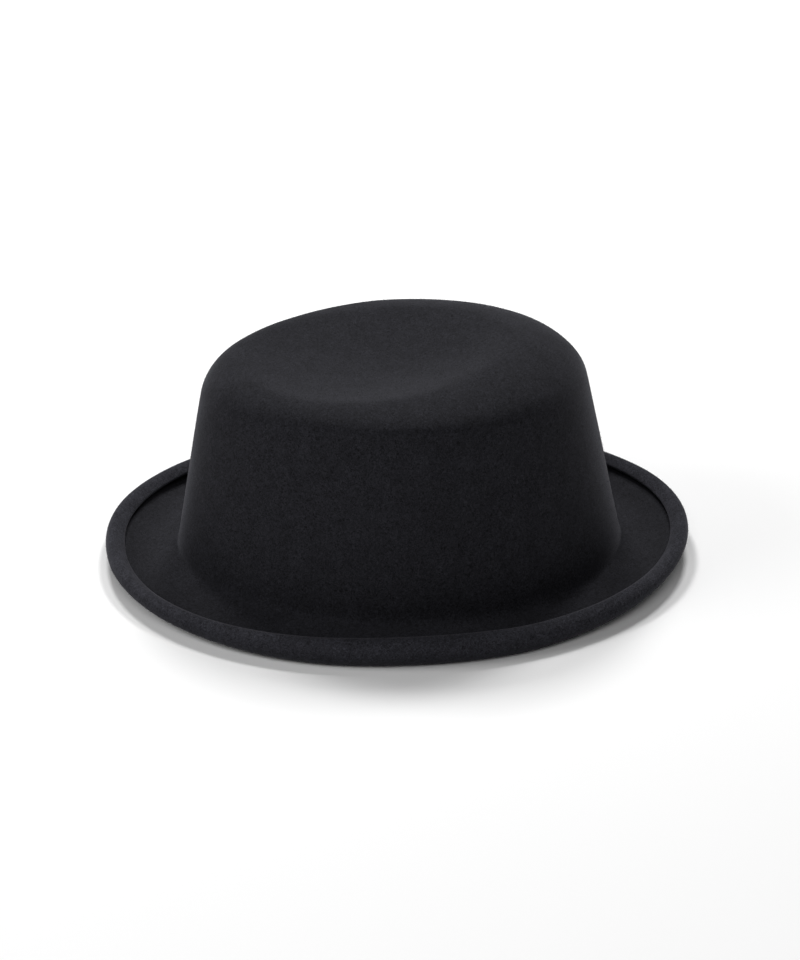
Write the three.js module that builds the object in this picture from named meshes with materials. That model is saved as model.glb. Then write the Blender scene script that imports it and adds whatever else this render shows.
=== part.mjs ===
// A porkpie hat blocked from one piece of wool felt: a tapering crown with round shoulders, a shallow
// teardrop dent in its top, and a narrow brim whose edge is rolled up and over inward.
// Millimetres, +Z up. The front of the hat faces -Y and the wearer's left is +X.
// The brim lies on z = 0 along both sides, and lifts a little toward the front and the back.
import * as THREE from "three";

// Felt
const FELT_WALL = 2;
const FELT_COLOUR = 0x1d1d20;

// Head opening: the inside of the felt where the crown meets the brim
const OPENING_LENGTH = 197.5;
const OPENING_WIDTH = 166;
// Every oval of the crown is a little fuller toward the front, by this share of its width
const FULLER_FRONT = 0.04;

// Crown: heights of the crest that runs round the dent, above the surface that the hat rests on
const CREST_HEIGHT_FRONT = 103;
const CREST_HEIGHT_BACK = 94;
const CREST_HEIGHT_SIDE = 96;
// Crown: where the straight wall ends and the shoulder starts to turn in
const SHOULDER_HEIGHT_FRONT = 83.5;
const SHOULDER_HEIGHT_BACK = 79;
const SHOULDER_HEIGHT_SIDE = 88;
const SHOULDER_REACH_FRONT = 83.5;
const SHOULDER_REACH_BACK = 88;
const SHOULDER_REACH_SIDE = 74.5;
const SHOULDER_SQUARENESS = 1.86;
// Crown: how far the shoulder runs on level from the crest, as a share of the way out, and straight on
// up from the wall, as a share of the way up
const SHOULDER_LEVEL = 0.55;
const SHOULDER_UPRIGHT = 0.6;
// Crown: how high the brim starts at the foot of the wall, and the length of the curve there on each side
const FOOT_HEIGHT = 4;
const FOOT_CURVE = 3.5;

// Teardrop dent: its crest line, rounder at the back and narrower at the front
const DENT_REACH_FRONT = 48.5;
const DENT_REACH_BACK = 69.5;
const DENT_HALF_WIDTH = 54;
const DENT_POINT = 0.08;
const DENT_DEPTH = 7;

// Brim: how far it reaches from the foot of the crown to the outside of the rolled edge
const BRIM_REACH_FRONT = 30;
const BRIM_REACH_BACK = 31.8;
const BRIM_REACH_SIDE = 30.4;
const BRIM_SQUARENESS_FRONT = 2;
const BRIM_SQUARENESS_BACK = 2.12;
const BRIM_LIFT_FRONT = 8.9;
const BRIM_LIFT_BACK = 5.4;
// The lift grows from the flat sides by this power of the distance
const LIFT_BEND = 1.35;
// Each side lies flat for this share of the hat's length, on a strip this wide beside the roll
const REST_SHARE = 0.3;
const REST_STRIP = 5;
// Rolled edge: it bulges out and up from the flat of the brim to its full height
const ROLL_HEIGHT_FRONT = 6.2;
const ROLL_HEIGHT_BACK = 6.5;
const ROLL_HEIGHT_SIDE = 12.4;
const ROLL_BULGE_ENDS = 3.2;
const ROLL_BULGE_SIDE = 6.5;
// How far round toward the sides the roll keeps the size that it has at the front and back
const ROLL_HOLD = 1.5;
// From its top the lip is bent over inward, and ends this far in from the outside and this far down
const LIP_REACH_FRONT = 7.8;
const LIP_REACH_BACK = 8.3;
const LIP_REACH_SIDE = 9.2;
const LIP_DROP = 2;
// Share of the lip's way inward at which it bends down
const LIP_BEND = 0.3;
// Toward the front and back the brim is a shallow trough: its rolled edge is turned up by as much as this
// angle in degrees, and the brim sags by as much as this between the edge and the foot of the crown
const TURN_UP = 14;
const BRIM_SAG = 1.8;

// Facets
const STEPS_AROUND = 64;
const STEPS_ROLL = 7;
const STEPS_LIP = 2;
const STEPS_SHOULDER = 6;
const STEPS_FOOT = 3;

const HALF_WALL = FELT_WALL / 2;

// The hat's plan is set out by an angle round it: 0 at the front, a quarter turn at the wearer's left.
// A size at any angle comes from its values at the front, the side and the back.
// A higher hold keeps the end values further round toward the sides.
function sizeAround(angle, front, side, back, hold = 1) {
  const end = Math.cos(angle) > 0 ? front : back;
  return end + (side - end) * Math.abs(Math.sin(angle)) ** (2 * hold);
}

// A point of an oval in plan. Squareness 2 is an ellipse, more is boxier.
function ovalPoint(angle, reachFront, reachSide, reachBack, squareness = 2) {
  const bend = (value) => Math.sign(value) * Math.abs(value) ** (2 / squareness);
  const along = Math.cos(angle);
  const reach = along > 0 ? reachFront : reachBack;
  return new THREE.Vector2(reachSide * bend(Math.sin(angle)), -reach * bend(along));
}

// The middle of the felt where the wall would meet the brim without its curve
const FOOT_HALF_LENGTH = OPENING_LENGTH / 2 + HALF_WALL;
const FOOT_HALF_WIDTH = OPENING_WIDTH / 2 + HALF_WALL;

function footPoint(angle) {
  const plan = ovalPoint(angle, FOOT_HALF_LENGTH, FOOT_HALF_WIDTH, FOOT_HALF_LENGTH);
  return new THREE.Vector3(plan.x * fullness(angle), plan.y, FOOT_HEIGHT + HALF_WALL);
}

function fullness(angle) {
  return 1 + FULLER_FRONT * Math.cos(angle);
}

// The outline of the brim, at the outside of the rolled edge
const BRIM_HALF_WIDTH = OPENING_WIDTH / 2 + FELT_WALL + BRIM_REACH_SIDE;
const BRIM_FRONT = OPENING_LENGTH / 2 + FELT_WALL + BRIM_REACH_FRONT;
const BRIM_BACK = OPENING_LENGTH / 2 + FELT_WALL + BRIM_REACH_BACK;

function brimOutward(angle) {
  const end = Math.cos(angle) > 0 ? BRIM_FRONT : BRIM_BACK;
  return new THREE.Vector2(Math.sin(angle) / BRIM_HALF_WIDTH, -Math.cos(angle) / end).normalize();
}

// The middle of the felt at the top of the straight wall
function shoulderPoint(angle) {
  const plan = ovalPoint(
    angle,
    SHOULDER_REACH_FRONT - HALF_WALL,
    SHOULDER_REACH_SIDE - HALF_WALL,
    SHOULDER_REACH_BACK - HALF_WALL,
    SHOULDER_SQUARENESS,
  );
  const height = sizeAround(angle, SHOULDER_HEIGHT_FRONT, SHOULDER_HEIGHT_SIDE, SHOULDER_HEIGHT_BACK);
  return new THREE.Vector3(plan.x * fullness(angle), plan.y, height);
}

// The crest of the dent is a teardrop curve in plan, and its height follows its place along the hat.
function crestPoint(angle) {
  const middle = (DENT_REACH_BACK - DENT_REACH_FRONT) / 2;
  const halfLength = (DENT_REACH_BACK + DENT_REACH_FRONT) / 2;
  const narrowing = Math.abs(Math.sin(angle / 2)) ** DENT_POINT;
  const along = Math.cos(angle);
  const slope = (CREST_HEIGHT_FRONT - CREST_HEIGHT_BACK) / 2;
  const lift = (CREST_HEIGHT_FRONT + CREST_HEIGHT_BACK) / 2 - CREST_HEIGHT_SIDE;
  return new THREE.Vector3(
    DENT_HALF_WIDTH * Math.sin(angle) * narrowing,
    middle - halfLength * along,
    CREST_HEIGHT_SIDE + slope * along + lift * along * along - HALF_WALL,
  );
}

const dentMiddle = new THREE.Vector3(
  0,
  (DENT_REACH_BACK - DENT_REACH_FRONT) / 2,
  CREST_HEIGHT_SIDE - DENT_DEPTH - HALF_WALL,
);

// Share of the way from the crest to the middle of the dent, and how much of its depth is reached there
const DENT_RINGS = [
  { inward: 0.84, sunk: 0.97 },
  { inward: 0.62, sunk: 0.81 },
  { inward: 0.42, sunk: 0.58 },
  { inward: 0.24, sunk: 0.33 },
  { inward: 0.1, sunk: 0.13 },
];

function dentSection(angle) {
  const crest = crestPoint(angle);
  return DENT_RINGS.map(({ inward, sunk }) => {
    const point = crest.clone().lerp(dentMiddle, inward);
    point.z = THREE.MathUtils.lerp(crest.z, dentMiddle.z, sunk);
    return point;
  });
}

// From the crest out and down over the shoulder to the top of the straight wall
function shoulderSection(angle) {
  const crest = crestPoint(angle);
  const wallTop = shoulderPoint(angle);
  const upWall = wallTop.clone().sub(footPoint(angle)).normalize();
  const rise = crest.z - wallTop.z;
  const outOfCrest = new THREE.Vector3(wallTop.x - crest.x, wallTop.y - crest.y, 0);
  const curve = new THREE.CubicBezierCurve3(
    crest,
    crest.clone().addScaledVector(outOfCrest, SHOULDER_LEVEL),
    wallTop.clone().addScaledVector(upWall, rise * SHOULDER_UPRIGHT),
    wallTop,
  );
  return curve.getPoints(STEPS_SHOULDER);
}

// 0 where the sides lie flat, growing to 1 at the front and back
function endShare(angle) {
  return Math.max(0, (Math.abs(Math.cos(angle)) - REST_SHARE) / (1 - REST_SHARE));
}

// How far the outside of the brim stands above the surface that the sides lie on
function brimLift(angle) {
  const most = Math.cos(angle) > 0 ? BRIM_LIFT_FRONT : BRIM_LIFT_BACK;
  return most * endShare(angle) ** LIFT_BEND;
}

// From the straight wall down through the curve at its foot to the flat of the brim
function footSection(angle, brimEdge) {
  const wallTop = shoulderPoint(angle);
  const corner = footPoint(angle);
  const upWall = wallTop.clone().sub(corner).normalize();
  const outBrim = brimEdge.clone().sub(corner).normalize();
  const wallEnd = corner.clone().addScaledVector(upWall, FOOT_CURVE);
  const brimStart = corner.clone().addScaledVector(outBrim, FOOT_CURVE);
  const wallMiddle = wallTop.clone().lerp(wallEnd, 0.5);
  const curve = new THREE.QuadraticBezierCurve3(wallEnd, corner, brimStart);
  const brimMiddle = brimStart.clone().lerp(brimEdge, 0.5);
  brimMiddle.z -= BRIM_SAG * endShare(angle);
  return [wallMiddle, ...curve.getPoints(STEPS_FOOT), brimMiddle];
}

function brimOutline(angle) {
  const squareness = Math.cos(angle) > 0 ? BRIM_SQUARENESS_FRONT : BRIM_SQUARENESS_BACK;
  return ovalPoint(angle, BRIM_FRONT, BRIM_HALF_WIDTH, BRIM_BACK, squareness);
}

// The rolled edge rises from the flat strip beside it as half of an upright ellipse, and its lip is then
// bent over inward and down. Here x is the distance out from the brim's outline and y is the height.
function rollSection(angle) {
  const lift = brimLift(angle);
  const height = sizeAround(angle, ROLL_HEIGHT_FRONT, ROLL_HEIGHT_SIDE, ROLL_HEIGHT_BACK, ROLL_HOLD);
  const bulge = sizeAround(angle, ROLL_BULGE_ENDS, ROLL_BULGE_SIDE, ROLL_BULGE_ENDS, ROLL_HOLD);
  const lipReach = sizeAround(angle, LIP_REACH_FRONT, LIP_REACH_SIDE, LIP_REACH_BACK, ROLL_HOLD);
  const rollMiddle = new THREE.Vector2(-bulge, lift + height / 2);
  const bulgeArc = new THREE.EllipseCurve(
    rollMiddle.x,
    rollMiddle.y,
    bulge - HALF_WALL,
    height / 2 - HALF_WALL,
    -Math.PI / 2,
    Math.PI / 2,
  );
  const top = new THREE.Vector2(-bulge, lift + height - HALF_WALL);
  const lip = new THREE.QuadraticBezierCurve(
    top,
    new THREE.Vector2(THREE.MathUtils.lerp(top.x, -lipReach, LIP_BEND), top.y),
    new THREE.Vector2(-lipReach, top.y - LIP_DROP),
  );
  const stripEnd = new THREE.Vector2(-bulge, lift + HALF_WALL);
  const stripMiddle = new THREE.Vector2(stripEnd.x - REST_STRIP / 2, stripEnd.y);
  const stripStart = new THREE.Vector2(stripEnd.x - REST_STRIP, stripEnd.y);
  const turn = THREE.MathUtils.degToRad(TURN_UP) * endShare(angle);
  const outline = brimOutline(angle);
  const outward = brimOutward(angle);
  return [
    stripStart,
    stripMiddle,
    ...bulgeArc.getPoints(STEPS_ROLL),
    ...lip.getPoints(STEPS_LIP).slice(1),
  ]
    .map((point) => point.clone().rotateAround(rollMiddle, turn))
    .map(({ x, y }) => new THREE.Vector3(outline.x + outward.x * x, outline.y + outward.y * x, y));
}

// The middle of the felt along one section, from the dent out over the crown and brim to the lip
function feltSection(angle) {
  const roll = rollSection(angle);
  const foot = footSection(angle, roll[0]);
  return [...dentSection(angle), ...shoulderSection(angle), ...foot, ...roll];
}

// Gives the middle surface of the felt its thickness, closed at the middle of the dent and round the lip.
function feltShell(middleRings, pole) {
  const count = middleRings[0].length;
  const last = middleRings.length - 1;
  const around = (index) => (index + count) % count;
  const face = [];
  const back = [];
  middleRings.forEach((ring, r) => {
    const inner = r > 0 ? middleRings[r - 1] : null;
    const outer = middleRings[Math.min(r + 1, last)];
    const faceRing = [];
    const backRing = [];
    ring.forEach((point, a) => {
      const along = outer[a].clone().sub(inner ? inner[a] : pole);
      const sideways = ring[around(a + 1)].clone().sub(ring[around(a - 1)]);
      const normal = along.cross(sideways).normalize();
      faceRing.push(point.clone().addScaledVector(normal, HALF_WALL));
      backRing.push(point.clone().addScaledVector(normal, -HALF_WALL));
    });
    face.push(faceRing);
    back.push(backRing);
  });
  const rings = [...face, ...back.reverse()];
  const up = new THREE.Vector3(0, 0, HALF_WALL);
  const positions = [pole.clone().add(up), ...rings.flat(), pole.clone().sub(up)];
  const faces = [];
  const vertex = (ring, a) => 1 + ring * count + around(a);
  const endPole = positions.length - 1;
  for (let a = 0; a < count; a += 1) {
    faces.push(0, vertex(0, a), vertex(0, a + 1));
    faces.push(vertex(rings.length - 1, a), endPole, vertex(rings.length - 1, a + 1));
    for (let r = 0; r < rings.length - 1; r += 1) {
      faces.push(vertex(r, a), vertex(r + 1, a), vertex(r + 1, a + 1));
      faces.push(vertex(r, a), vertex(r + 1, a + 1), vertex(r, a + 1));
    }
  }
  const geometry = new THREE.BufferGeometry().setFromPoints(positions);
  geometry.setIndex(faces);
  geometry.computeVertexNormals();
  return geometry;
}

const sections = [];
for (let step = 0; step < STEPS_AROUND; step += 1) {
  sections.push(feltSection((step / STEPS_AROUND) * Math.PI * 2));
}
const middleRings = sections[0].map((_, ring) => sections.map((section) => section[ring]));

const felt = new THREE.MeshStandardMaterial({
  name: "wool felt",
  color: FELT_COLOUR,
  roughness: 0.95,
  metalness: 0,
});

const crownAndBrim = new THREE.Mesh(feltShell(middleRings, dentMiddle), felt);
crownAndBrim.name = "crown_and_brim";

const hat = new THREE.Group();
hat.name = "hat";
hat.add(crownAndBrim);

export default hat;
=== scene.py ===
import math

import bpy
import numpy as np
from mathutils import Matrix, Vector


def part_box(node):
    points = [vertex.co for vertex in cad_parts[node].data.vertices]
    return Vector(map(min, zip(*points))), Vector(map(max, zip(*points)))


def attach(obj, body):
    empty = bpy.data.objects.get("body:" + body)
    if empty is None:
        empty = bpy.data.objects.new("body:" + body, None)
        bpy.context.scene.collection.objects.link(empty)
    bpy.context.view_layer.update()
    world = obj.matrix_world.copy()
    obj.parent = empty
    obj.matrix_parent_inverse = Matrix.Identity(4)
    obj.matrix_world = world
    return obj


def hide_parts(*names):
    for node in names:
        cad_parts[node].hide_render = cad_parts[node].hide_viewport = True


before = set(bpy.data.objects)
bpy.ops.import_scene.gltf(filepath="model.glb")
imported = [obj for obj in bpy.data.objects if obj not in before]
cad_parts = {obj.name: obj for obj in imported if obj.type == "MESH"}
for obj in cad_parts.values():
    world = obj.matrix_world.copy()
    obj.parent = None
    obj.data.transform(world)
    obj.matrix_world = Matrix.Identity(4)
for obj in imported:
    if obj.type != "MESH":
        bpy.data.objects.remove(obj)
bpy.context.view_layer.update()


# The crown
# The hat is one piece of wool felt. A cone of fulled wool is steamed and pulled over a wooden block, which
# leaves a tapering wall, a round shoulder, and a shallow teardrop dent pressed into the top.
MM = 0.001
lowest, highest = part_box("crown_and_brim")
felt_wall = 2 * MM
half_wall = felt_wall / 2

foot_half_length = 99.75 * MM
foot_half_width = 84 * MM
foot_height = 5 * MM
# Every oval of the crown is a little fuller toward the front, by this share of its width
fuller_front = 0.04

# Where the straight wall ends and the shoulder starts to turn in. Its curve runs on level from the crest,
# and straight on up from the wall, for these shares of the way.
shoulder_height = {"front": 83.5 * MM, "side": 88 * MM, "back": 79 * MM}
shoulder_reach = {"front": 82.5 * MM, "side": 73.5 * MM, "back": 87 * MM}
shoulder_squareness = 1.86
shoulder_level = 0.55
shoulder_upright = 0.6

# The crest of the dent, and how far the middle of the dent lies under it
crest_height = {"front": highest.z - half_wall, "side": 95 * MM, "back": 93 * MM}
dent_reach = {"front": 48.5 * MM, "side": 54 * MM, "back": 69.5 * MM}
dent_point = 0.08
dent_depth = 7 * MM
dent_round = 1.1

steps_around = 128
steps_dent = 14
steps_shoulder = 13
steps_wall = 9


def size_around(angle, sizes, hold=1):
    """A size at an angle round the hat, 0 at the front, from its values at front, side and back."""
    end = sizes["front"] if math.cos(angle) > 0 else sizes["back"]
    return end + (sizes["side"] - end) * abs(math.sin(angle)) ** (2 * hold)


def oval_point(angle, front, side, back, squareness=2):
    """A point of an oval in plan. Squareness 2 is an ellipse."""
    power = 2 / squareness
    across = math.copysign(abs(math.sin(angle)) ** power, math.sin(angle))
    along = math.copysign(abs(math.cos(angle)) ** power, math.cos(angle))
    return Vector((side * across, -(front if along > 0 else back) * along, 0))


def foot_point(angle):
    """The middle of the felt where the wall would meet the brim without its curve."""
    point = oval_point(angle, foot_half_length, foot_half_width, foot_half_length)
    point.x *= 1 + fuller_front * math.cos(angle)
    point.z = foot_height
    return point


def wall_top(angle):
    """The middle of the felt where the straight wall ends and the shoulder begins."""
    reach = shoulder_reach
    point = oval_point(angle, reach["front"], reach["side"], reach["back"], shoulder_squareness)
    point.x *= 1 + fuller_front * math.cos(angle)
    point.z = size_around(angle, shoulder_height)
    return point


def crest_point(angle):
    """The crest round the dent: a teardrop curve, higher at the front."""
    middle = (dent_reach["back"] - dent_reach["front"]) / 2
    half_length = (dent_reach["back"] + dent_reach["front"]) / 2
    along = math.cos(angle)
    slope = (crest_height["front"] - crest_height["back"]) / 2
    lift = (crest_height["front"] + crest_height["back"]) / 2 - crest_height["side"]
    across = math.sin(angle) * abs(math.sin(angle / 2)) ** dent_point
    height = crest_height["side"] + slope * along + lift * along * along
    return Vector((dent_reach["side"] * across, middle - half_length * along, height))


def dent_middle():
    middle = (dent_reach["back"] - dent_reach["front"]) / 2
    return Vector((0, middle, crest_height["side"] - dent_depth))


def dent_section(angle):
    """From near the middle of the dent out to its crest, level at both ends."""
    crest, middle = crest_point(angle), dent_middle()
    points = []
    for step in range(1, steps_dent + 1):
        outward = step / steps_dent
        point = middle.lerp(crest, outward)
        sunk = math.cos(outward * math.pi / 2) ** dent_round
        point.z = crest.z + (middle.z - crest.z) * sunk
        points.append(point)
    return points


def shoulder_section(angle):
    """Over the shoulder, from the crest to the top of the straight wall."""
    crest, top = crest_point(angle), wall_top(angle)
    up_wall = (top - foot_point(angle)).normalized()
    level_out = Vector((top.x - crest.x, top.y - crest.y, 0))
    first = crest + level_out * shoulder_level
    second = top + up_wall * (crest.z - top.z) * shoulder_upright
    points = []
    for step in range(1, steps_shoulder + 1):
        s = step / steps_shoulder
        r = 1 - s
        points.append(crest * r**3 + first * 3 * r * r * s + second * 3 * r * s * s + top * s**3)
    return points


# The brim and its rolled edge
# The rest of the same felt is pressed out flat as a narrow brim. Its edge is turned up and bent over inward
# while it is wet, so it dries as an open roll that is tall along the sides and low at the front and back.
brim_reach = {"front": -lowest.y, "side": 115.4 * MM, "back": 132.55 * MM}
brim_squareness = {"front": 2, "back": 2.12}
brim_lift = {"front": 8.9 * MM, "back": 5.4 * MM}
# The lift grows by this power of the distance from the flat sides, which lie on the floor for this share of
# the hat's length, on a strip this wide beside the roll
lift_bend = 1.35
rest_share = 0.3
rest_strip = 5 * MM
foot_curve = 3.5 * MM

roll_height = {"front": 6.2 * MM, "side": 12.4 * MM, "back": 6.5 * MM}
roll_bulge = {"front": 3.2 * MM, "side": 6.5 * MM, "back": 3.2 * MM}
roll_hold = 1.5
lip_reach = {"front": 7.8 * MM, "side": 9.2 * MM, "back": 8.3 * MM}
lip_drop = 2 * MM
lip_bend = 0.3
# At the front and back the brim is a shallow trough: its roll is turned up, and its flat sags
turn_up = math.radians(14)
brim_sag = 1.8 * MM

# The rolled edge is painted paler, painted light as from a lamp above, starting at one share of the way up
# it and in full at another, and the crease inside it is painted darker, painted shade from the roll. Both
# were set from the photo's greys.
roll_painted_lighter = 1.75
painted_light_from = 0.25
painted_light_to = 0.7
crease_painted_darker = 0.82

strip_shares = (1, 0.5)
steps_foot = 5
steps_brim = 4
steps_roll = 14
steps_lip = 6
steps_into_crease = 2


def end_share(angle):
    """0 where the sides lie flat, growing to 1 at the front and back."""
    return max(0, (abs(math.cos(angle)) - rest_share) / (1 - rest_share))


def lift_at(angle):
    """How far the outside of the brim stands above the surface that its sides lie on."""
    return brim_lift["front" if math.cos(angle) > 0 else "back"] * end_share(angle) ** lift_bend


def roll_section(angle):
    """The flat strip beside the roll, half of an upright ellipse, and the lip bent over inward."""
    end = "front" if math.cos(angle) > 0 else "back"
    reach = brim_reach
    edge = oval_point(angle, reach["front"], reach["side"], reach["back"], brim_squareness[end])
    outward = Vector((math.sin(angle) / reach["side"], -math.cos(angle) / reach[end], 0)).normalized()
    height = size_around(angle, roll_height, roll_hold)
    bulge = size_around(angle, roll_bulge, roll_hold)
    lip = size_around(angle, lip_reach, roll_hold)
    floor = lift_at(angle)
    places = [(-bulge - rest_strip * share, half_wall) for share in strip_shares]
    for step in range(steps_roll + 1):
        turn = math.pi * (step / steps_roll - 0.5)
        out = (bulge - half_wall) * math.cos(turn) - bulge
        places.append((out, (height / 2 - half_wall) * math.sin(turn) + height / 2))
    for step in range(1, steps_lip + 1):
        s = step / steps_lip
        inward = (lip - bulge) * (2 * s * (1 - s) * lip_bend + s * s)
        places.append((-bulge - inward, height - half_wall - lip_drop * s * s))
    turn = turn_up * end_share(angle)
    points = []
    for out, up in places:
        from_middle = Vector((out + bulge, up - height / 2))
        turned_out = from_middle.x * math.cos(turn) - from_middle.y * math.sin(turn) - bulge
        turned_up = from_middle.x * math.sin(turn) + from_middle.y * math.cos(turn) + height / 2
        points.append(edge + outward * turned_out + Vector((0, 0, floor + turned_up)))
    return points


def foot_section(angle, strip_start):
    """Down the straight wall, through the curve at its foot, and out over the flat of the brim."""
    top, corner = wall_top(angle), foot_point(angle)
    wall_end = corner + (top - corner).normalized() * foot_curve
    brim_start = corner + (strip_start - corner).normalized() * foot_curve
    points = [top.lerp(wall_end, step / steps_wall) for step in range(1, steps_wall)]
    for step in range(steps_foot + 1):
        s = step / steps_foot
        points.append(wall_end * (1 - s) ** 2 + corner * 2 * s * (1 - s) + brim_start * s * s)
    for step in range(1, steps_brim):
        s = step / steps_brim
        sag = brim_sag * end_share(angle) * 4 * s * (1 - s)
        points.append(brim_start.lerp(strip_start, s) - Vector((0, 0, sag)))
    return points


def felt_sheet():
    """The middle surface of the felt, as rings of points from the dent out to the lip."""
    rings = None
    for step in range(steps_around):
        angle = 2 * math.pi * step / steps_around
        roll = roll_section(angle)
        inner = dent_section(angle) + shoulder_section(angle) + foot_section(angle, roll[0])
        section = inner + roll
        rings = rings or [[] for _ in section]
        for ring, point in zip(rings, section):
            ring.append(point)
    points = [dent_middle()] + [point for ring in rings for point in ring]
    faces = []
    for a in range(steps_around):
        b = (a + 1) % steps_around
        faces.append((0, 1 + a, 1 + b))
        for r in range(len(rings) - 1):
            start = 1 + r * steps_around
            faces.append((start + a, start + steps_around + a, start + steps_around + b, start + b))
    mesh = bpy.data.meshes.new("felt_body")
    mesh.from_pydata(points, [], faces)
    mesh.shade_smooth()
    crease = len(inner) - 1
    roll_start = len(inner) + len(strip_shares)
    painted_light_start, painted_light_full = (roll_start + share * steps_roll for share in (painted_light_from, painted_light_to))
    # Painted light and shade: a gain on the felt's colour, darker in the crease inside the roll and paler
    # up the rolled edge.
    rings_marked = [crease - steps_into_crease, crease, roll_start, painted_light_start, painted_light_full]
    painted_gain_there = [1, crease_painted_darker, crease_painted_darker, 1, roll_painted_lighter]
    for index, painted_shading in enumerate(mesh.attributes.new("painted_shading", "FLOAT", "POINT").data):
        ring = (index - 1) // steps_around
        painted_shading.value = float(np.interp(ring, rings_marked, painted_gain_there))
    return mesh


def add_node(tree, kind, settings=None, values=None, links=None):
    """Adds a node, with its settings, the values of its sockets, and links into its sockets."""
    node = tree.nodes.new(kind)
    for name, value in (settings or {}).items():
        setattr(node, name, value)
    for socket, value in (values or {}).items():
        node.inputs[socket].default_value = value
    for socket, source in (links or {}).items():
        tree.links.new(source, node.inputs[socket])
    return node


def geometry_tree(name, inputs):
    """An empty geometry tree with a geometry input, the named inputs and a geometry output."""
    tree = bpy.data.node_groups.new(name, "GeometryNodeTree")
    face = tree.interface
    face.new_socket("Geometry", in_out="INPUT", socket_type="NodeSocketGeometry")
    face.new_socket("Geometry", in_out="OUTPUT", socket_type="NodeSocketGeometry")
    for label, kind, value in inputs:
        socket = face.new_socket(label, in_out="INPUT", socket_type=kind)
        if value is not None:
            socket.default_value = value
    return tree


def set_inputs(modifier, values):
    """Sets a tree's named inputs by their sockets' identifiers."""
    for item in modifier.node_group.interface.items_tree:
        if item.in_out == "INPUT" and item.name in values:
            modifier[item.identifier] = values[item.name]


def linear(hex_colour):
    """An sRGB hex colour as linear RGBA."""
    channels = [int(hex_colour[i : i + 2], 16) / 255 for i in (1, 3, 5)]
    return [c / 12.92 if c <= 0.04045 else ((c + 0.055) / 1.055) ** 2.4 for c in channels] + [1]


# Wool felt, dyed black: fine crimped wool matted in every direction and brushed. It gives a matt,
# faintly mottled face, a soft light rim where the nap is seen edge on, and no gloss.
def wool_felt():
    material = bpy.data.materials.new("wool felt")
    material.use_nodes = True
    tree = material.node_tree
    tree.nodes.clear()
    place = add_node(tree, "ShaderNodeTexCoord").outputs["Object"]
    # Tufts of matted fibres are drawn 1.1 mm apart, coarser than real ones, so that they show
    fibre_gap = 1.1 * MM
    # The dye takes a little unevenly, in soft clouds
    cloud_size = 9 * MM
    cloud_strength = 0.12
    # The fibres stand a little proud of the face, by up to this much
    fibre_height = 0.15 * MM
    fibres = add_node(
        tree,
        "ShaderNodeTexNoise",
        values={"Scale": 1 / fibre_gap, "Detail": 5, "Roughness": 0.62, "Distortion": 1.6},
        links={"Vector": place},
    ).outputs["Fac"]
    clouds = add_node(
        tree,
        "ShaderNodeTexNoise",
        values={"Scale": 1 / cloud_size, "Detail": 3, "Roughness": 0.5},
        links={"Vector": place},
    ).outputs["Fac"]
    fibre_colour = add_node(tree, "ShaderNodeValToRGB", links={"Fac": fibres})
    ramp = fibre_colour.color_ramp
    ramp.elements[0].position = 0.34
    ramp.elements[0].color = linear("#0d0d0f")
    ramp.elements[1].position = 0.68
    ramp.elements[1].color = linear("#2a2a2f")
    cloud_colour = add_node(
        tree,
        "ShaderNodeMapRange",
        values={
            "From Min": 0.3,
            "From Max": 0.7,
            "To Min": 1 - cloud_strength,
            "To Max": 1 + cloud_strength,
        },
        links={"Value": clouds},
    ).outputs["Result"]
    # Painted light and shade from the mesh: the colour is made darker in the crease inside the roll and
    # paler up the rolled edge.
    painted_shading = add_node(tree, "ShaderNodeAttribute", {"attribute_name": "painted_shading"}).outputs["Fac"]
    colour = fibre_colour.outputs["Color"]
    for gain in (cloud_colour, painted_shading):
        colour = add_node(
            tree,
            "ShaderNodeMix",
            settings={"data_type": "RGBA", "blend_type": "MULTIPLY"},
            values={0: 1.0},
            links={6: colour, 7: gain},
        ).outputs[2]
    bump = add_node(
        tree,
        "ShaderNodeBump",
        values={"Strength": 0.35, "Distance": fibre_height},
        links={"Height": fibres},
    ).outputs["Normal"]
    shader = add_node(
        tree,
        "ShaderNodeBsdfPrincipled",
        values={
            "Roughness": 0.95,
            "IOR": 1.5,
            "Specular IOR Level": 0.1,
            "Sheen Weight": 0.17,
            "Sheen Roughness": 0.38,
            "Sheen Tint": linear("#b8b8c2"),
        },
        links={"Base Color": colour, "Normal": bump},
    ).outputs["BSDF"]
    add_node(tree, "ShaderNodeOutputMaterial", links={"Surface": shader})
    return material


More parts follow.
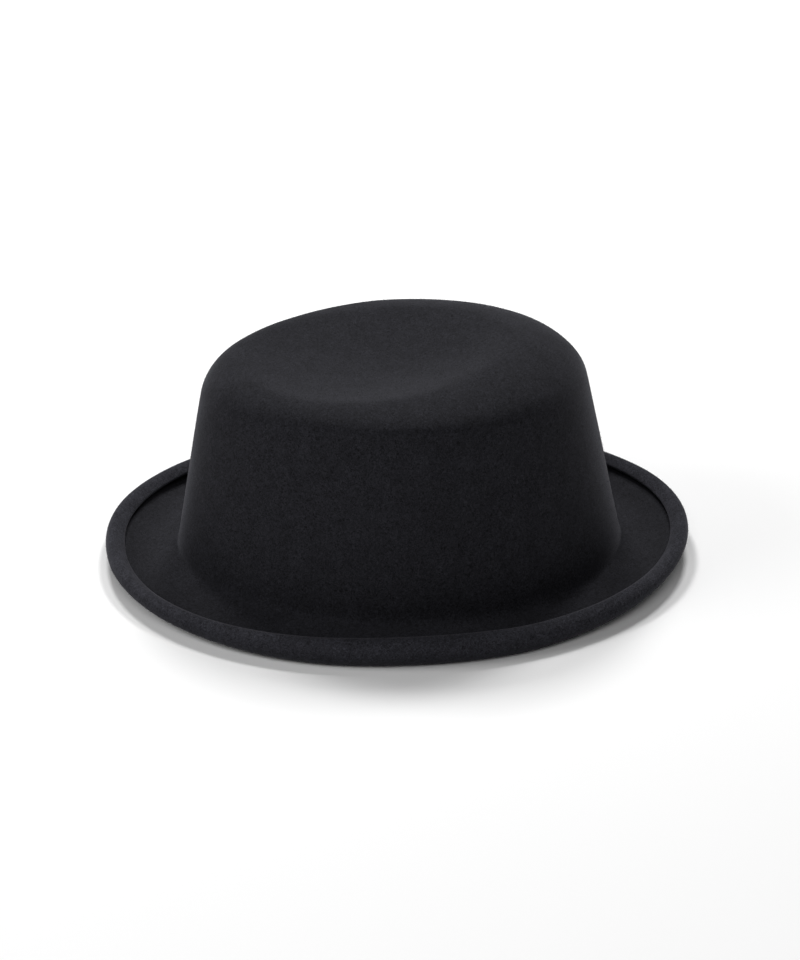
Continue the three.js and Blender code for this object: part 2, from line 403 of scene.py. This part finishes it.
# The block leaves the felt very slightly uneven. The tree moves the sheet along its normals by soft noise,
# before the sheet is given its thickness. The noise fades out toward the floor that the brim rests on.
def unevenness_tree():
    tree = geometry_tree(
        "felt unevenness",
        [
            ("Size", "NodeSocketFloat", 45 * MM),
            ("Depth", "NodeSocketFloat", 0.9 * MM),
            ("Seed", "NodeSocketFloat", 3.0),
            ("Even Below", "NodeSocketFloat", 2 * MM),
            ("Uneven Above", "NodeSocketFloat", 14 * MM),
        ],
    )
    given = add_node(tree, "NodeGroupInput").outputs
    spacing = add_node(
        tree, "ShaderNodeMath", {"operation": "DIVIDE"}, {0: 1.0}, {1: given["Size"]}
    ).outputs[0]
    noise = add_node(
        tree,
        "ShaderNodeTexNoise",
        {"noise_dimensions": "4D"},
        {"Detail": 1.0},
        {"Scale": spacing, "W": given["Seed"]},
    ).outputs["Fac"]
    centred = add_node(tree, "ShaderNodeMath", {"operation": "SUBTRACT"}, {1: 0.5}, {0: noise}).outputs[0]
    place = add_node(tree, "GeometryNodeInputPosition").outputs["Position"]
    height = add_node(tree, "ShaderNodeSeparateXYZ", {}, {}, {"Vector": place}).outputs["Z"]
    limits = {"Value": height, "From Min": given["Even Below"], "From Max": given["Uneven Above"]}
    depth_here = add_node(
        tree, "ShaderNodeMapRange", {}, {"To Min": 0.0}, {**limits, "To Max": given["Depth"]}
    ).outputs["Result"]
    depth = add_node(
        tree, "ShaderNodeMath", {"operation": "MULTIPLY"}, {}, {0: centred, 1: depth_here}
    ).outputs[0]
    normal = add_node(tree, "GeometryNodeInputNormal").outputs["Normal"]
    offset = add_node(
        tree, "ShaderNodeVectorMath", {"operation": "SCALE"}, {}, {0: normal, "Scale": depth}
    ).outputs[0]
    moved = add_node(
        tree, "GeometryNodeSetPosition", {}, {}, {"Geometry": given["Geometry"], "Offset": offset}
    ).outputs[0]
    add_node(tree, "NodeGroupOutput", {}, {}, {"Geometry": moved})
    return tree


def finished(piece):
    """The piece with its modifiers turned into plain mesh."""
    graph = bpy.context.evaluated_depsgraph_get()
    mesh = bpy.data.meshes.new_from_object(piece.evaluated_get(graph))
    piece.modifiers.clear()
    piece.data = mesh
    return piece


felt_material = wool_felt()
felt_body = bpy.data.objects.new("felt_body", felt_sheet())
bpy.context.scene.collection.objects.link(felt_body)
uneven = felt_body.modifiers.new("unevenness", "NODES")
uneven.node_group = unevenness_tree()
set_inputs(uneven, {"Size": 45 * MM, "Depth": 0.9 * MM, "Seed": 3.0})
thickness = felt_body.modifiers.new("thickness", "SOLIDIFY")
thickness.thickness = felt_wall
thickness.offset = 0
thickness.use_even_offset = True
smooth = felt_body.modifiers.new("smooth", "SUBSURF")
smooth.levels = 1
smooth.render_levels = 1
finished(felt_body)
felt_body.data.materials.clear()
felt_body.data.materials.append(felt_material)
felt_body.data.shade_smooth()
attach(felt_body, "root")
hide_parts("crown_and_brim")


# The nap: brushing the finished hat raises short loose ends of the wool all over its outside. Each is a
# fine spike with its root in the felt, leaning at random, and none grows on the inside or under the brim.
def nap_tree():
    tree = geometry_tree(
        "felt nap",
        [
            ("Hairs Per Square Metre", "NodeSocketFloat", 1.0),
            ("Length", "NodeSocketFloat", 1 * MM),
            ("Radius", "NodeSocketFloat", 0.03 * MM),
            ("Root Depth", "NodeSocketFloat", 0.1 * MM),
            ("Lean", "NodeSocketFloat", 1.0),
            ("Clear Of Floor", "NodeSocketFloat", 2 * MM),
            ("Seed", "NodeSocketInt", 1),
            ("Material", "NodeSocketMaterial", None),
        ],
    )
    given = add_node(tree, "NodeGroupInput").outputs
    normal = add_node(tree, "GeometryNodeInputNormal").outputs["Normal"]
    place = add_node(tree, "GeometryNodeInputPosition").outputs["Position"]
    # Seen from a point this far under the floor, the crown's outside and the brim's top face away
    seen_from = 20 * MM
    least_facing = 0.001
    from_below = add_node(
        tree, "ShaderNodeVectorMath", {"operation": "ADD"}, {1: (0, 0, seen_from)}, {0: place}
    ).outputs[0]
    facing = add_node(
        tree, "ShaderNodeVectorMath", {"operation": "DOT_PRODUCT"}, {}, {0: normal, 1: from_below}
    ).outputs["Value"]
    outside = add_node(
        tree, "FunctionNodeCompare", {"operation": "GREATER_THAN"}, {1: least_facing}, {0: facing}
    ).outputs["Result"]
    height = add_node(tree, "ShaderNodeSeparateXYZ", {}, {}, {"Vector": place}).outputs["Z"]
    clear = add_node(
        tree,
        "FunctionNodeCompare",
        {"operation": "GREATER_THAN"},
        links={0: height, 1: given["Clear Of Floor"]},
    ).outputs["Result"]
    growing = add_node(
        tree, "FunctionNodeBooleanMath", {"operation": "AND"}, {}, {0: outside, 1: clear}
    ).outputs[0]
    scattered = add_node(
        tree,
        "GeometryNodeDistributePointsOnFaces",
        links={
            "Mesh": given["Geometry"],
            "Selection": growing,
            "Density": given["Hairs Per Square Metre"],
            "Seed": given["Seed"],
        },
    ).outputs
    inward = add_node(
        tree, "ShaderNodeMath", {"operation": "MULTIPLY"}, {1: -1.0}, {0: given["Root Depth"]}
    ).outputs[0]
    sink = add_node(
        tree, "ShaderNodeVectorMath", {"operation": "SCALE"}, {}, {0: scattered["Normal"], "Scale": inward}
    ).outputs[0]
    roots = add_node(
        tree, "GeometryNodeSetPosition", {}, {}, {"Geometry": scattered["Points"], "Offset": sink}
    ).outputs[0]
    hair = add_node(
        tree,
        "GeometryNodeMeshCone",
        values={"Vertices": 3, "Radius Top": 0.0},
        links={"Radius Bottom": given["Radius"], "Depth": given["Length"]},
    ).outputs["Mesh"]
    most = add_node(tree, "ShaderNodeCombineXYZ", {}, {"Z": 2 * math.pi}, {"X": given["Lean"]}).outputs[0]
    turn = add_node(
        tree,
        "FunctionNodeRandomValue",
        {"data_type": "FLOAT_VECTOR"},
        {"Min": (0, 0, 0)},
        {"Max": most, "Seed": given["Seed"]},
    ).outputs[0]
    lean = add_node(tree, "FunctionNodeEulerToRotation", {}, {}, {"Euler": turn}).outputs[0]
    leaning = add_node(
        tree,
        "FunctionNodeRotateRotation",
        {"rotation_space": "LOCAL"},
        {},
        {"Rotation": scattered["Rotation"], "Rotate By": lean},
    ).outputs[0]
    growth = add_node(
        tree,
        "FunctionNodeRandomValue",
        {"data_type": "FLOAT"},
        {2: 0.5, 3: 1.3},
        {"Seed": given["Seed"]},
    ).outputs[1]
    grown = add_node(
        tree,
        "GeometryNodeInstanceOnPoints",
        links={"Points": roots, "Instance": hair, "Rotation": leaning, "Scale": growth},
    ).outputs[0]
    real = add_node(tree, "GeometryNodeRealizeInstances", {}, {}, {"Geometry": grown}).outputs[0]
    dyed = add_node(
        tree, "GeometryNodeSetMaterial", {}, {}, {"Geometry": real, "Material": given["Material"]}
    ).outputs[0]
    add_node(tree, "NodeGroupOutput", {}, {}, {"Geometry": dyed})
    return tree


felt_nap = bpy.data.objects.new("felt_nap", felt_body.data.copy())
bpy.context.scene.collection.objects.link(felt_nap)
brushing = felt_nap.modifiers.new("brushing", "NODES")
brushing.node_group = nap_tree()
set_inputs(brushing, {
    "Hairs Per Square Metre": 340000.0,
    "Length": 0.9 * MM,
    "Radius": 0.035 * MM,
    "Root Depth": 0.1 * MM,
    "Lean": 1.25,
    "Clear Of Floor": 1.5 * MM,
    "Seed": 7,
    "Material": felt_material,
})
finished(felt_nap)
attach(felt_nap, "root")


# The floor
# A sheet of white paper, matt and faintly grey, on which the hat stands as a shop shows it. It reaches so
# far that no edge of it is in view.
floor_mesh = bpy.data.meshes.new("floor")
floor_reach = 6.0
corners = [(-1, -1), (1, -1), (1, 1), (-1, 1)]
floor_mesh.from_pydata([(x * floor_reach, y * floor_reach, 0) for x, y in corners], [], [(0, 1, 2, 3)])
floor = bpy.data.objects.new("floor", floor_mesh)
bpy.context.scene.collection.objects.link(floor)
floor_material = bpy.data.materials.new("white paper sweep")
floor_material.use_nodes = True
floor_shader = floor_material.node_tree.nodes["Principled BSDF"]
floor_shader.inputs["Base Color"].default_value = linear("#f2f2f2")
floor_shader.inputs["Roughness"].default_value = 0.9
floor_shader.inputs["Specular IOR Level"].default_value = 0.1
floor_mesh.materials.append(floor_material)


# The camera
# It looks down a little on the hat's right side. The front of the hat is to the right of the picture, and
# its back is slightly nearer. The distance and the lens were fitted to the outline in the photo.
camera_azimuth = math.radians(-97.25)
camera_elevation = math.radians(26.33)
camera_distance = 1.283
toward_camera = Vector((
    math.sin(camera_azimuth) * math.cos(camera_elevation),
    -math.cos(camera_azimuth) * math.cos(camera_elevation),
    math.sin(camera_elevation),
))
hat_middle = Vector((0, 0, 3.95 * MM))
aim_above = 27 * MM
aim_right = 0.16 * MM
picture_right = Vector((math.cos(camera_azimuth), math.sin(camera_azimuth), 0))
picture_up = toward_camera.cross(picture_right)
aim = hat_middle + picture_up * aim_above + picture_right * aim_right
camera_data = bpy.data.cameras.new("camera")
camera = bpy.data.objects.new("camera", camera_data)
bpy.context.scene.collection.objects.link(camera)
camera.location = hat_middle + toward_camera * camera_distance
camera.rotation_euler = (aim - camera.location).to_track_quat("-Z", "Y").to_euler()
camera_data.sensor_fit = "AUTO"
camera_data.sensor_width = 36
pixels_per_metre = 2205
picture_height = 960
camera_data.lens = pixels_per_metre * camera_distance * camera_data.sensor_width / picture_height
bpy.context.scene.camera = camera


# The light
# Two small soft lights behind the hat and well above it draw the shadow on the near side, as in the photo,
# and the pale light line along the crest of the dent. Large weak ones at the sides and the camera fill in.
def softbox(name, side, elevation, distance, size, power):
    """A square soft light, turned by side degrees from the camera and aimed at the hat."""
    azimuth = camera_azimuth + math.radians(side)
    rise = math.radians(elevation)
    direction = Vector((
        math.sin(azimuth) * math.cos(rise),
        -math.cos(azimuth) * math.cos(rise),
        math.sin(rise),
    ))
    data = bpy.data.lights.new(name, "AREA")
    data.shape = "SQUARE"
    data.size = size
    data.energy = power
    light = bpy.data.objects.new(name, data)
    bpy.context.scene.collection.objects.link(light)
    light.location = hat_middle + direction * distance
    light.rotation_euler = (-direction).to_track_quat("-Z", "Y").to_euler()
    light.visible_camera = False


# Degrees round from the camera and degrees up, then metres away, metres wide, and watts
softbox("back_left_light", -162, 54.5, 1.8, 0.34, 17)
softbox("back_right_light", 162, 54.5, 1.8, 0.34, 16)
softbox("left_light", -75, 30, 1.8, 1.0, 13)
softbox("right_light", 125, 30, 1.8, 1.0, 1.5)
softbox("camera_light", 0, 42, 1.8, 1.0, 9.5)

# A very weak even light from all round, as from the walls of the room
world = bpy.data.worlds.new("studio")
world.use_nodes = True
backdrop = world.node_tree.nodes["Background"].inputs
backdrop["Color"].default_value = (1, 1, 1, 1)
backdrop["Strength"].default_value = 0.02
bpy.context.scene.world = world
bpy.context.scene.view_settings.view_transform = "Standard"
